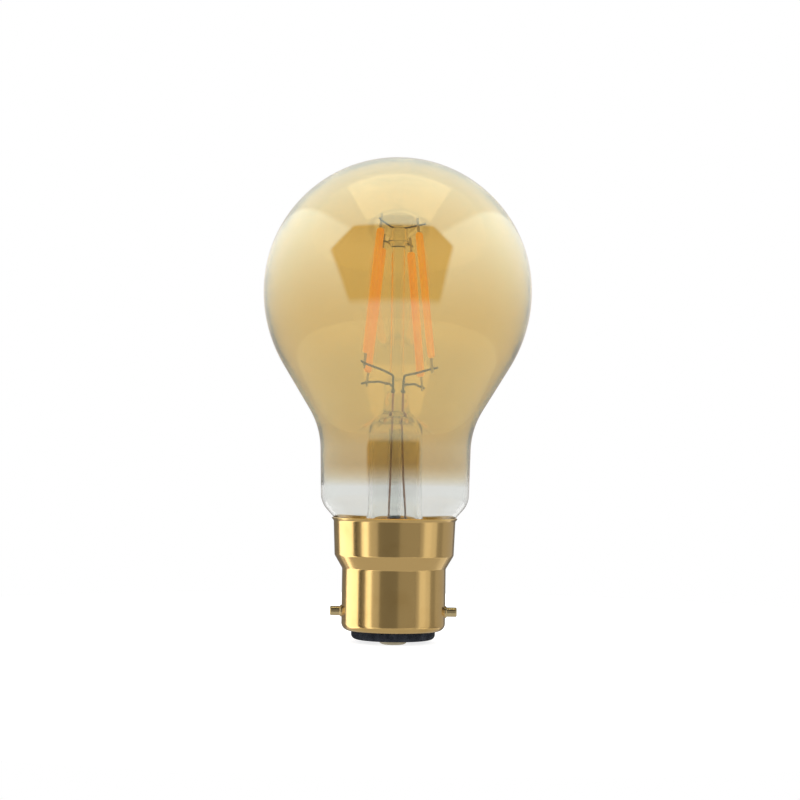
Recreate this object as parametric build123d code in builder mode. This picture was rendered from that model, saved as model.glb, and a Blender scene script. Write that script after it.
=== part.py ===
from build123d import *
import math
import os

# A filament lamp with a two-pin bayonet cap, amber glass and a radio driver inside the cap.
# Units are millimetres. +Z runs up the lamp's axis from cap to glass, and X runs along the two
# bayonet pins. The origin is on the axis, in the plane of the two solder contacts, so the
# lamp stands on z = 0. The cap's sizes are those of the standard 22 mm bayonet cap, and the
# glass, stem and filaments follow from it.

os.makedirs("parts", exist_ok=True)

# --- cap -------------------------------------------------------------------------------------
CAP_R = 11.0  # outer radius of the straight shell that goes into the lampholder
CAP_WALL = 0.3
CAP_CORNER = 1.8  # outer radius of the rolled bottom edge
SHELL_BOTTOM_Z = 2.4
STEP_LOW_Z = 15.6  # the conical step up to the wider skirt
STEP_HIGH_Z = 18.4
SKIRT_LOW_R = 12.65
SKIRT_TOP_R = 12.95
SKIRT_TOP_Z = 25.5
RIM_R = 13.4  # the flared lip round the glass
RIM_Z = 26.2
PIN_Z = 6.5  # bayonet pins above the contact plane
PIN_R = 1.0
PIN_TIP_X = 13.45
PIN_SHANK_R = 1.25  # the thicker shank ends in a small shoulder outside the shell
PIN_SHOULDER_X = 11.3
PIN_HEAD_R = 1.55
PIN_HEAD_X = 10.0
PIN_HEAD_THICK = 0.4
INSULATOR_FOOT_R = 8.9
INSULATOR_ROUNDING = 1.0
INSULATOR_LEDGE_Z = 2.75
INSULATOR_FOOT_Z = 0.7
INSULATOR_TOP_Z = 4.9
CONTACT_Y = 4.5  # the contacts lie across the line of the pins
CONTACT_R = 3.15
EYELET_R = 1.2
EYELET_BORE = 0.8

# --- glass -----------------------------------------------------------------------------------
GLOBE_R = 28.7
GLOBE_Z = 74.55
LOWER_R = 30.5  # below its widest ring the globe is a little fuller than a sphere
FLANK_ANGLE = 31.5  # degrees from the axis, where the globe runs out into the waist
WAIST_BEND = 17.0
NECK_TOP = (16.15, 44.0)
NECK_FOOT = (15.7, 29.4)
COLLAR_R = 11.9  # the part of the neck that is cemented into the skirt
COLLAR_TOP_Z = 25.15
COLLAR_FOOT_Z = 20.5
CEMENT_TOP_Z = 24.2
GLASS_WALL = 0.7
STEM_R = 5.7
STEM_WALL = 0.9
STEM_SHOULDER_Z = 46.3
PINCH_WIDTH = 4.8
PINCH_DEPTH = 2.8
PINCH_FOOT_Z = 49.4
PINCH_TOP_Z = 56.0
EXHAUST_R = 1.45
EXHAUST_WALL = 0.4
EXHAUST_Y = 2.6  # the tube lies behind the wires
EXHAUST_FOOT_Z = 20.0
EXHAUST_TOP_Z = 46.2
ARBOR_R = 1.5
BUTTON_FOOT_Z = 84.4
BUTTON_TOP_Z = 89.0

# --- filaments -------------------------------------------------------------------------------
# Points are in the stem's frame, which is turned a few degrees from the line of the pins.
# The front pair hangs about 3.2 mm higher than the back pair, and all four lean in towards
# the top. Each place is given for the right-hand side and mirrored for the left.
STEM_TURN = 4.0
FRONT_FOOT, FRONT_HEAD = (6.9, -5.0, 60.25), (4.1, -3.0, 87.15)
BACK_FOOT, BACK_HEAD = (5.8, 6.2, 57.0), (3.1, 3.9, 83.9)
LEFT_LIFT = 0.75  # the left-hand filaments hang this much higher
SUBSTRATE_WIDTH = 0.95
SUBSTRATE_THICK = 0.3
CHIP_COAT = 0.85  # thickness of the coat over the chips
BACK_COAT = 0.6  # thickness of the coat on the other face
COAT_WIDTH = 1.3
COAT_ROUNDING = 0.5
COAT_END = 0.7  # the coat runs this far past the substrate at each end
TAB_WIDTH = 0.55
TAB_THICK = 0.2
TAB_LENGTH = 3.1  # from the coat's end to the tab's free tip
TOP_WELD = 1.55  # from the coat's end to the wire across the tab
FOOT_WELD = 2.2
WELD_GAP = 0.03
CHIP_COUNT = 22
CHIP_PROUD, CHIP_WIDTH, CHIP_LENGTH = 0.12, 0.5, 0.75

# --- wires -----------------------------------------------------------------------------------
LEAD_R = 0.24
TOP_WIRE_R = 0.18
SEAL_R = 0.24
OUTER_LEAD_R = 0.22
SUPPLY_R = 0.45
KNOT_X = {"left": -0.75, "right": 1.4}  # where the leads are welded inside the pinch
KNOT_Z = 53.4
KNOT_R = 0.5
KNOT_SPREAD = 0.27  # front and back lead lie this far from the seal wire's axis
SEAL_FOOT_Z = 45.4
FRONT_WIRE_Z = 88.3
BACK_WIRE_Z = 85.2

# --- driver ----------------------------------------------------------------------------------
BOARD_THICK = 1.0
BOARD_WIDTH = 20.4
BOARD_FOOT_Z = 8.2
BOARD_TOP_Z = 18.8
BOARD_FACE = BOARD_THICK / 2
RADIO_Y = 5.0  # inner face of the radio module's own small board
RADIO_THICK = 0.6
RADIO_FACE = RADIO_Y + RADIO_THICK
HEADER_FOOT_Z, HEADER_TOP_Z = 15.4, 17.4
HEADER_X = (-3.75, -1.25, 1.25, 3.75)
CAN_X, CAN_Y, CAN_R = -3.6, -3.85, 3.15
CAN_FOOT_Z, CAN_TOP_Z = 9.9, 17.3
CHOKE_X, CHOKE_R = 4.4, 2.5
CHOKE_FOOT_Z, CHOKE_TOP_Z = 9.6, 15.2
FUSE_X, FUSE_R = 0.68, 0.8
FUSE_FOOT_Z, FUSE_TOP_Z = 8.4, 13.6

STEM = Plane.XY.rotated((0, 0, STEM_TURN))


def keep(built, label):
    """Label a finished piece and write it as its own STEP file."""
    built.part.label = label
    export_step(built.part, f"parts/{label}.step")
    return built


def wire(points, radius, bends, frame=Plane.XY):
    """A round wire along straight runs joined by arcs, with its points given in a frame."""
    with BuildPart() as built:
        with BuildLine() as route:
            FilletPolyline(*[frame.from_local_coords(Vector(p)) for p in points], radius=bends)
        with BuildSketch(Plane(origin=route.line @ 0, z_dir=route.line % 0)):
            Circle(radius)
        sweep(path=route.line)
    return built


def turned(label, outline):
    """A solid of revolution about Z from (radius, height) corners joined by straight lines."""
    with BuildPart() as built:
        with BuildSketch(Plane.XZ):
            with BuildLine():
                Polyline(*outline, close=True)
            make_face()
        revolve(axis=Axis.Z)
    return keep(built, label)


# ============================== cap ==========================================================
# Pressed brass shell: rolled bottom edge, straight shell, conical step, skirt and flared lip.
with BuildPart() as cap_shell:
    with BuildSketch(Plane.XZ):
        with BuildLine():
            outside = FilletPolyline(
                (CAP_R - CAP_CORNER, SHELL_BOTTOM_Z),
                (CAP_R, SHELL_BOTTOM_Z),
                (CAP_R, STEP_LOW_Z),
                (SKIRT_LOW_R, STEP_HIGH_Z),
                (SKIRT_TOP_R, SKIRT_TOP_Z),
                (RIM_R, RIM_Z),
                radius=(CAP_CORNER - 0.01, 0.7, 0.9, 0.6),
            )
            offset(outside, amount=CAP_WALL, side=Side.LEFT)
        make_face()
    revolve(axis=Axis.Z)
    # a small countersink seats each bayonet pin
    for side in (-1, 1):
        with Locations(Location((side * CAP_R, 0, PIN_Z), (0, side * 90, 0))):
            CounterSinkHole(
                radius=PIN_SHANK_R, counter_sink_radius=PIN_SHANK_R + 0.15, depth=1.0
            )
keep(cap_shell, "cap_shell")

# Bayonet pins: a head inside the shell, a thick shank through it and a thinner free end with a
# chamfered tip, which is what the lampholder's slots take.
for name, side in (("left", -1), ("right", 1)):
    with BuildPart() as bayonet_pin:
        for radius, end_x in (
            (PIN_HEAD_R, PIN_HEAD_X + PIN_HEAD_THICK),
            (PIN_SHANK_R, PIN_SHOULDER_X),
            (PIN_R, PIN_TIP_X),
        ):
            with BuildSketch(Plane.YZ.offset(side * PIN_HEAD_X)):
                with Locations((0, PIN_Z)):
                    Circle(radius)
            extrude(amount=side * (end_x - PIN_HEAD_X))
        tip = bayonet_pin.faces().sort_by(Axis.X)[-1 if side > 0 else 0]
        chamfer(tip.edges(), length=0.15)
    keep(bayonet_pin, f"bayonet_pin_{name}")

# Black glass base insulator, moulded into the shell's bottom, with two holes for the eyelets.
with BuildPart() as base_insulator:
    with BuildSketch(Plane.XZ):
        with BuildLine():
            flat_r = INSULATOR_FOOT_R - INSULATOR_ROUNDING
            foot = Line((0, INSULATOR_FOOT_Z), (flat_r, INSULATOR_FOOT_Z))
            rounding = CenterArc(
                (flat_r, INSULATOR_FOOT_Z + INSULATOR_ROUNDING), INSULATOR_ROUNDING, -90, 90
            )
            throat = Line(rounding @ 1, (INSULATOR_FOOT_R, INSULATOR_LEDGE_Z))
            ledge = Line(throat @ 1, (CAP_R - CAP_CORNER, INSULATOR_LEDGE_Z))
            corner_r = CAP_CORNER - CAP_WALL - 0.05
            corner = CenterArc(
                (CAP_R - CAP_CORNER, INSULATOR_LEDGE_Z + corner_r), corner_r, -90, 90
            )
            Polyline(corner @ 1, (CAP_R - CAP_WALL - 0.05, INSULATOR_TOP_Z), (0, INSULATOR_TOP_Z))
            Line((0, INSULATOR_TOP_Z), foot @ 0)
        make_face()
    revolve(axis=Axis.Z)
    with BuildSketch(Plane.XY.offset(INSULATOR_FOOT_Z)):
        with Locations((0, -CONTACT_Y), (0, CONTACT_Y)):
            Circle(CONTACT_R)
    extrude(amount=0.35, mode=Mode.SUBTRACT)
    with BuildSketch(Plane.XY.offset(INSULATOR_FOOT_Z)):
        with Locations((0, -CONTACT_Y), (0, CONTACT_Y)):
            Circle(EYELET_R)
    extrude(amount=INSULATOR_TOP_Z, mode=Mode.SUBTRACT)
keep(base_insulator, "base_insulator")

# Contact eyelets and the solder that closes them, one pair at the front and one at the back.
for name, side in (("front", -1), ("back", 1)):
    centre = Plane(origin=(0, side * CONTACT_Y, 0))
    with BuildPart() as contact_eyelet:
        with BuildSketch(centre.offset(INSULATOR_FOOT_Z)):
            Circle(CONTACT_R)
        extrude(amount=0.35)
        with BuildSketch(centre.offset(INSULATOR_FOOT_Z)):
            Circle(EYELET_R)
        extrude(amount=INSULATOR_TOP_Z - INSULATOR_FOOT_Z)
        with BuildSketch(centre.offset(INSULATOR_FOOT_Z)):
            Circle(EYELET_BORE)
        extrude(amount=INSULATOR_TOP_Z, mode=Mode.SUBTRACT)
    keep(contact_eyelet, f"contact_eyelet_{name}")
    with BuildPart() as solder_contact:
        with BuildSketch(Plane.XZ.offset(-side * CONTACT_Y)):
            with BuildLine():
                face = Line((0, 0), (1.8, 0))
                dome = ThreePointArc(face @ 1, (2.7, 0.24), (CONTACT_R - 0.15, INSULATOR_FOOT_Z))
                Polyline(
                    dome @ 1,
                    (EYELET_BORE, INSULATOR_FOOT_Z),
                    (EYELET_BORE, 2.4),
                    (SUPPLY_R, 2.4),
                    (SUPPLY_R, 1.2),
                    (0, 1.2),
                    face @ 0,
                )
            make_face()
        revolve(axis=Axis((0, side * CONTACT_Y, 0), (0, 0, 1)))
    keep(solder_contact, f"solder_contact_{name}")

# Basing cement between the glass collar and the skirt.
turned(
    "cap_cement",
    [
        (COLLAR_R, COLLAR_FOOT_Z),
        (SKIRT_LOW_R - CAP_WALL, COLLAR_FOOT_Z),
        (SKIRT_LOW_R - CAP_WALL + 0.12, CEMENT_TOP_Z),
        (COLLAR_R, CEMENT_TOP_Z),
    ],
)

# Plastic liner that keeps the driver off the brass.
LINER_R = CAP_R - CAP_WALL - 0.2
with BuildPart() as cap_liner:
    with BuildSketch(Plane.XY.offset(PIN_Z + PIN_HEAD_R + 0.15)):
        Circle(LINER_R)
        Circle(LINER_R - 0.25, mode=Mode.SUBTRACT)
    extrude(amount=9.4)
keep(cap_liner, "cap_liner")

# ============================== glass ========================================================
# Envelope: a round globe that runs out through a conical flank into a waist and the neck.
flank = math.radians(FLANK_ANGLE)
lower_x = GLOBE_R - LOWER_R
flank_start = (lower_x + LOWER_R * math.cos(flank), GLOBE_Z - LOWER_R * math.sin(flank))
flank_drop = (flank_start[0] - NECK_TOP[0]) / math.tan(flank)
with BuildPart() as glass_envelope:
    with BuildSketch(Plane.XZ):
        with BuildLine():
            with BuildLine(mode=Mode.PRIVATE) as outside:
                CenterArc((0, GLOBE_Z), GLOBE_R, 0, 90)
                CenterArc((lower_x, GLOBE_Z), LOWER_R, -FLANK_ANGLE, FLANK_ANGLE)
                FilletPolyline(
                    flank_start,
                    (NECK_TOP[0], flank_start[1] - flank_drop),
                    NECK_FOOT,
                    (COLLAR_R, COLLAR_TOP_Z),
                    (COLLAR_R, COLLAR_FOOT_Z),
                    radius=(WAIST_BEND, 5.0, 1.5),
                )
            add(offset(outside.wires()[0], amount=-GLASS_WALL, side=Side.LEFT, mode=Mode.PRIVATE))
        make_face()
    revolve(axis=Axis.Z)
keep(glass_envelope, "glass_envelope")


# ============================== wires in the glass ===========================================
def filament_line(depth, side):
    """A filament's foot and head in the stem's frame, with its unit run and facing directions.

    The strip stands edge-on to the axis, so that the radial wires lie flat across its tabs.
    """
    foot, head = (FRONT_FOOT, FRONT_HEAD) if depth == "front" else (BACK_FOOT, BACK_HEAD)
    lift = LEFT_LIFT if side < 0 else 0
    foot = Vector(side * foot[0], foot[1], foot[2] + lift)
    head = Vector(side * head[0], head[1], head[2] + lift)
    run = (head - foot).normalized()
    facing = Vector(0, 0, 1).cross(Vector(foot.X, foot.Y, 0)).normalized()
    facing = (facing - run * facing.dot(run)).normalized()
    return foot, head, run, facing


FILAMENTS = {
    f"{depth}_{name}": filament_line(depth, side)
    for depth in ("front", "back")
    for name, side in (("left", -1), ("right", 1))
}


def weld_point(place, end, wire_radius):
    """Centre of a wire that lies across the face of a filament's tab."""
    foot, head, run, facing = FILAMENTS[place]
    point = head + run * TOP_WELD if end == "head" else foot - run * FOOT_WELD
    return point + facing * (TAB_THICK / 2 + wire_radius + WELD_GAP)


# Top support wires: one joins the front pair across the glass button and one the back pair.
front_left = weld_point("front_left", "head", TOP_WIRE_R)
front_right = weld_point("front_right", "head", TOP_WIRE_R)
top_wire_front = wire(
    [
        front_left + Vector(-0.65, -0.5, 0.5),
        front_left,
        Vector(-1.35, -0.95, FRONT_WIRE_Z),
        Vector(1.35, -0.95, FRONT_WIRE_Z),
        front_right,
        front_right + Vector(1.4, -0.8, 0.2),
    ],
    TOP_WIRE_R,
    (0.6, 2.0, 2.0, 0.8),
    STEM,
)
keep(top_wire_front, "top_wire_front")
back_left = weld_point("back_left", "head", TOP_WIRE_R)
back_right = weld_point("back_right", "head", TOP_WIRE_R)
top_wire_back = wire(
    [
        back_left + Vector(-0.5, 0.5, 0.3),
        back_left,
        Vector(-1.2, 1.0, BACK_WIRE_Z),
        Vector(1.2, 1.0, BACK_WIRE_Z),
        back_right,
        back_right + Vector(0.75, 0.5, -0.25),
    ],
    TOP_WIRE_R,
    (0.8, 1.4, 1.4, 0.8),
    STEM,
)
keep(top_wire_back, "top_wire_back")

# Inner lead wires: each holds one filament's foot and runs into the pinch, where the front
# and the back one of a side meet at the seal wire.
inner_leads = []
for name, side in (("left", -1), ("right", 1)):
    knot = Vector(KNOT_X[name], 0, KNOT_Z)
    front = weld_point(f"front_{name}", "foot", LEAD_R)
    entry = knot.X + side * 0.15
    lead_front = wire(
        [
            front + Vector(side * 1.0, -0.55, 0.55 if side < 0 else 0.15),
            front,
            Vector(knot.X + side * 2.3, -2.6, 57.7 if side < 0 else 57.1),
            Vector(entry, -2.1, 56.7),
            Vector(knot.X, -KNOT_SPREAD, 54.9),
            knot + Vector(0, -KNOT_SPREAD, 0),
        ],
        LEAD_R,
        (2.0, 2.0, 0.75, 0.9),
        STEM,
    )
    inner_leads.append(keep(lead_front, f"lead_wire_front_{name}"))
    back = weld_point(f"back_{name}", "foot", LEAD_R)
    lead_back = wire(
        [
            back + Vector(side * 0.9, 0.8, -0.25),
            back,
            Vector(knot.X + side * 2.8, 2.7, 55.6 if side < 0 else 55.2),
            Vector(knot.X + side * 0.6, 0.9, 54.9),
            Vector(knot.X, KNOT_SPREAD, 54.2),
            knot + Vector(0, KNOT_SPREAD, 0),
        ],
        LEAD_R,
        (2.0, 1.5, 0.6, 0.35),
        STEM,
    )
    inner_leads.append(keep(lead_back, f"lead_wire_back_{name}"))

# Seal wires: copper-clad wire that seals to glass, from the weld down out of the pinch.
seal_wires = []
for name in ("left", "right"):
    top = (KNOT_X[name], 0, KNOT_Z)
    foot = (KNOT_X[name] - 0.1, 0, SEAL_FOOT_Z)
    with BuildPart() as seal_wire:
        with BuildLine(STEM) as route:
            Line(top, foot)
        with BuildSketch(Plane(origin=route.line @ 0, z_dir=route.line % 0)):
            Circle(SEAL_R)
        sweep(path=route.line)
    seal_wires.append(keep(seal_wire, f"seal_wire_{name}"))

# Weld knots, one round the wires' ends on each side.
with BuildPart() as weld_knots:
    with Locations(*[STEM.from_local_coords(Vector(x, 0, KNOT_Z)) for x in KNOT_X.values()]):
        Sphere(KNOT_R)
    for piece in inner_leads + seal_wires:
        add(piece.part, mode=Mode.SUBTRACT)
keep(weld_knots, "weld_knots")

# Outer leads: bare copper from the seal wires down through the stem to the driver board.
for name, side, spread in (("left", -1, 0.55), ("right", 1, 1.3)):
    x = KNOT_X[name] - 0.1
    outer_lead = wire(
        [
            STEM.from_local_coords(Vector(x, 0, SEAL_FOOT_Z)),
            (x + side * spread / 3, 0, 35.0),
            (x + side * spread, -BOARD_FACE - OUTER_LEAD_R - 0.03, 22.0),
            (x + side * spread, -BOARD_FACE - OUTER_LEAD_R - 0.03, 17.4),
        ],
        OUTER_LEAD_R,
        (12.0, 12.0),
    )
    keep(outer_lead, f"outer_lead_{name}")

# ============================== glass mount ==================================================
# Stem: a flared tube that closes in a shoulder, with the flat pinch on top.
with BuildPart() as glass_stem:
    with BuildSketch(Plane.XZ):
        with BuildLine():
            shoulder = ThreePointArc(
                (STEM_R, STEM_SHOULDER_Z - 1.5), (4.9, 47.4), (2.2, PINCH_FOOT_Z)
            )
            Line(shoulder @ 0, (STEM_R, 29.5))
            flare = ThreePointArc((STEM_R, 29.5), (7.1, 24.2), (COLLAR_R - GLASS_WALL, 21.3))
            Line(flare @ 1, (COLLAR_R - GLASS_WALL, COLLAR_FOOT_Z))
            mouth = ThreePointArc(
                (COLLAR_R - GLASS_WALL, COLLAR_FOOT_Z), (6.4, 23.7), (STEM_R - STEM_WALL, 29.5)
            )
            Line(mouth @ 1, (STEM_R - STEM_WALL, STEM_SHOULDER_Z - 1.9))
            vault = ThreePointArc(
                (STEM_R - STEM_WALL, STEM_SHOULDER_Z - 1.9), (3.9, 46.6), (0, 48.0)
            )
            Line(vault @ 1, (0, PINCH_FOOT_Z))
            Line((0, PINCH_FOOT_Z), shoulder @ 1)
        make_face()
    revolve(axis=Axis.Z)
    with BuildSketch(STEM.offset(PINCH_FOOT_Z - 1.4)):
        Circle(2.9)
    with BuildSketch(STEM.offset(PINCH_FOOT_Z + 1.6)):
        RectangleRounded(PINCH_WIDTH, PINCH_DEPTH, 0.9)
    loft()
    with BuildSketch(STEM.offset(PINCH_FOOT_Z + 1.6)):
        RectangleRounded(PINCH_WIDTH, PINCH_DEPTH, 0.9)
    extrude(amount=PINCH_TOP_Z - PINCH_FOOT_Z - 1.6)
    fillet(glass_stem.edges().group_by(Axis.Z)[-1], radius=0.5)
    # the blow hole beside the pinch opens the exhaust tube into the bulb
    with BuildSketch(STEM.offset(45.0)):
        with Locations((0, EXHAUST_Y)):
            Circle(EXHAUST_R - EXHAUST_WALL - 0.15)
    extrude(amount=6.0, mode=Mode.SUBTRACT)
    for piece in inner_leads + seal_wires + [weld_knots]:
        add(piece.part, mode=Mode.SUBTRACT)
keep(glass_stem, "glass_stem")

# Exhaust tube: thin tube beside the wires, melted shut at its foot.
exhaust_at = STEM.from_local_coords(Vector(0, EXHAUST_Y, 0))
with BuildPart() as exhaust_tube:
    with BuildSketch(Plane(origin=exhaust_at, x_dir=(1, 0, 0), z_dir=(0, -1, 0))):
        with BuildLine():
            bore_r = EXHAUST_R - EXHAUST_WALL
            tip = CenterArc((0, EXHAUST_FOOT_Z + EXHAUST_R), EXHAUST_R, -90, 90)
            hollow = CenterArc((0, EXHAUST_FOOT_Z + EXHAUST_R + 0.5), bore_r, -90, 90)
            Polyline(tip @ 1, (EXHAUST_R, EXHAUST_TOP_Z), (bore_r, EXHAUST_TOP_Z), hollow @ 1)
            Line(hollow @ 0, tip @ 0)
        make_face()
    revolve(axis=Axis(exhaust_at, (0, 0, 1)))
keep(exhaust_tube, "exhaust_tube")

# Arbor: plain glass rod fused to the pinch.
turned(
    "arbor_rod",
    [(0, PINCH_TOP_Z), (ARBOR_R, PINCH_TOP_Z), (ARBOR_R, BUTTON_FOOT_Z), (0, BUTTON_FOOT_Z)],
)

# Glass button: melted round both top support wires.
with BuildPart() as glass_button:
    with BuildSketch(Plane.XZ):
        with BuildLine():
            FilletPolyline(
                (0, BUTTON_FOOT_Z),
                (ARBOR_R, BUTTON_FOOT_Z),
                (2.4, 85.3),
                (1.85, BUTTON_TOP_Z),
                (0, BUTTON_TOP_Z),
                radius=(0.2, 0.5, 0.5),
            )
            Line((0, BUTTON_TOP_Z), (0, BUTTON_FOOT_Z))
        make_face()
    revolve(axis=Axis.Z)
    add(top_wire_front.part, mode=Mode.SUBTRACT)
    add(top_wire_back.part, mode=Mode.SUBTRACT)
keep(glass_button, "glass_button")

# ============================== filaments ====================================================
for place, (foot, head, run, facing) in FILAMENTS.items():
    length = (head - foot).length
    start = Plane(
        origin=STEM.from_local_coords(foot),
        x_dir=STEM.from_local_coords(facing),
        z_dir=STEM.from_local_coords(run),
    )
    strip_length = length - 2 * COAT_END

    # ceramic strip
    with BuildPart() as substrate:
        with BuildSketch(start.offset(COAT_END)):
            Rectangle(SUBSTRATE_THICK, SUBSTRATE_WIDTH)
        extrude(amount=strip_length)
    keep(substrate, f"filament_substrate_{place}")

    # row of chips along one face
    pitch = strip_length / CHIP_COUNT
    with BuildPart() as chips:
        for index in range(CHIP_COUNT):
            chip_foot = COAT_END + (index + 0.5) * pitch - CHIP_LENGTH / 2
            with BuildSketch(start.offset(chip_foot)):
                with Locations(((SUBSTRATE_THICK + CHIP_PROUD) / 2, 0)):
                    Rectangle(CHIP_PROUD, CHIP_WIDTH)
            extrude(amount=CHIP_LENGTH)
    keep(chips, f"led_chips_{place}")

    # metal tabs at both ends, joined to the strip inside the coat
    with BuildPart() as tabs:
        with BuildSketch(start.offset(-TAB_LENGTH), start.offset(length - COAT_END)):
            Rectangle(TAB_THICK, TAB_WIDTH)
        extrude(amount=TAB_LENGTH + COAT_END)
    keep(tabs, f"filament_tabs_{place}")

    # phosphor silicone coat, thicker over the chips
    with BuildPart() as coat:
        with BuildSketch(start):
            with Locations(((CHIP_COAT - BACK_COAT) / 2, 0)):
                RectangleRounded(
                    SUBSTRATE_THICK + CHIP_COAT + BACK_COAT, COAT_WIDTH, COAT_ROUNDING
                )
        extrude(amount=length)
        for piece in (substrate, chips, tabs):
            add(piece.part, mode=Mode.SUBTRACT)
    keep(coat, f"filament_coat_{place}")

# ============================== driver =======================================================
# Driver board, standing upright in the liner.
with BuildPart() as driver_board:
    with BuildSketch(Plane.XZ.offset(-BOARD_FACE)):
        with Locations((0, (BOARD_FOOT_Z + BOARD_TOP_Z) / 2)):
            RectangleRounded(BOARD_WIDTH, BOARD_TOP_Z - BOARD_FOOT_Z, 0.6)
    extrude(amount=BOARD_THICK)
keep(driver_board, "driver_board")

# Supply wires from the contacts to the driver.
supply_wire_front = wire(
    [
        (0, -CONTACT_Y, 1.2),
        (0, -CONTACT_Y, 5.4),
        (FUSE_X, -CONTACT_Y, 6.6),
        (FUSE_X, -CONTACT_Y, FUSE_FOOT_Z),
    ],
    SUPPLY_R,
    1.0,
)
keep(supply_wire_front, "supply_wire_front")
back_y = BOARD_FACE + SUPPLY_R
supply_wire_back = wire(
    [(0, CONTACT_Y, 1.2), (0, CONTACT_Y, 6.0), (0, back_y, 8.8), (0, back_y, 12.0)],
    SUPPLY_R,
    1.2,
)
keep(supply_wire_back, "supply_wire_back")

# Fusible resistor in line with the front supply wire, its top lead bent over to the board.
with BuildPart() as fusible_resistor:
    with BuildSketch(Plane(origin=(FUSE_X, -CONTACT_Y, FUSE_FOOT_Z))):
        Circle(FUSE_R)
    extrude(amount=FUSE_TOP_Z - FUSE_FOOT_Z)
    fillet(fusible_resistor.edges().filter_by(GeomType.CIRCLE), radius=0.25)
    with BuildLine() as lead:
        FilletPolyline(
            (FUSE_X, -CONTACT_Y, FUSE_TOP_Z - 0.5),
            (FUSE_X, -CONTACT_Y, 15.2),
            (FUSE_X, -BOARD_FACE, 15.2),
            radius=0.8,
        )
    with BuildSketch(Plane(origin=lead.line @ 0, z_dir=lead.line % 0)):
        Circle(0.3)
    sweep(path=lead.line)
keep(fusible_resistor, "fusible_resistor")

# Reservoir capacitor: aluminium can, rubber bung and two leads.
with BuildPart() as capacitor_can:
    with BuildSketch(Plane(origin=(CAN_X, CAN_Y, CAN_FOOT_Z))):
        Circle(CAN_R)
    extrude(amount=CAN_TOP_Z - CAN_FOOT_Z)
    fillet(capacitor_can.edges().filter_by(GeomType.CIRCLE), radius=0.35)
    with BuildSketch(Plane(origin=(CAN_X, CAN_Y, CAN_FOOT_Z + 1.3))):
        Circle(CAN_R)
        Circle(CAN_R - 0.25, mode=Mode.SUBTRACT)
    extrude(amount=0.4, mode=Mode.SUBTRACT)
keep(capacitor_can, "capacitor_can")
with BuildPart() as capacitor_bung:
    with BuildSketch(Plane(origin=(CAN_X, CAN_Y, CAN_FOOT_Z))):
        Circle(CAN_R - 0.5)
    extrude(amount=-0.6)
keep(capacitor_bung, "capacitor_bung")
with BuildPart() as capacitor_leads:
    for side in (-1, 1):
        x = CAN_X + side * 1.25
        with BuildLine() as lead:
            FilletPolyline(
                (x, CAN_Y, CAN_FOOT_Z - 0.6),
                (x, CAN_Y, 8.7),
                (x, -BOARD_FACE, 8.7),
                radius=0.45,
            )
        with BuildSketch(Plane(origin=lead.line @ 0, z_dir=lead.line % 0)):
            Circle(0.25)
        sweep(path=lead.line)
keep(capacitor_leads, "capacitor_leads")

# Choke: ferrite drum with its copper winding between the two flanges.
with BuildPart() as choke_core:
    with BuildSketch(Plane(origin=(CHOKE_X, -BOARD_FACE - CHOKE_R, CHOKE_FOOT_Z))):
        Circle(CHOKE_R)
    extrude(amount=CHOKE_TOP_Z - CHOKE_FOOT_Z)
    with BuildSketch(Plane(origin=(CHOKE_X, -BOARD_FACE - CHOKE_R, CHOKE_FOOT_Z + 0.8))):
        Circle(CHOKE_R)
        Circle(1.2, mode=Mode.SUBTRACT)
    extrude(amount=CHOKE_TOP_Z - CHOKE_FOOT_Z - 1.6, mode=Mode.SUBTRACT)
keep(choke_core, "choke_core")
with BuildPart() as choke_winding:
    with BuildSketch(Plane(origin=(CHOKE_X, -BOARD_FACE - CHOKE_R, CHOKE_FOOT_Z + 0.8))):
        Circle(CHOKE_R - 0.25)
        Circle(1.2, mode=Mode.SUBTRACT)
    extrude(amount=CHOKE_TOP_Z - CHOKE_FOOT_Z - 1.6)
keep(choke_winding, "choke_winding")


def chip_package(label, x, z, width, height, thick, legs):
    """A moulded chip on the board's back face, with a row of legs along each side."""
    with BuildPart() as built:
        with BuildSketch(Plane.XZ.offset(-BOARD_FACE - 0.1)):
            with Locations((x, z)):
                Rectangle(width, height)
        extrude(amount=-thick)
        chamfer(built.faces().sort_by(Axis.Y)[-1].edges(), length=0.2)
        pitch = height / legs
        with BuildSketch(Plane.XZ.offset(-BOARD_FACE)):
            for side in (-1, 1):
                for index in range(legs):
                    leg_z = z + (index - (legs - 1) / 2) * pitch
                    with Locations((x + side * (width / 2 + 0.2), leg_z)):
                        Rectangle(1.0, pitch * 0.4)
        extrude(amount=-0.5)
    keep(built, label)


chip_package("bridge_rectifier", -5.6, 11.3, 4.0, 4.2, 2.2, 2)
chip_package("driver_chip", 5.2, 11.4, 3.9, 4.9, 1.4, 4)

# Small surface-mounted resistors and capacitors on the board's back face.
with BuildPart() as board_passives:
    with BuildSketch(Plane.XZ.offset(-BOARD_FACE)):
        with Locations((-8.6, 15.4), (-8.6, 16.9), (7.6, 15.4), (7.6, 16.9), (1.5, 8.9)):
            Rectangle(1.6, 0.8)
    extrude(amount=-0.5)
keep(board_passives, "board_passives")

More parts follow.
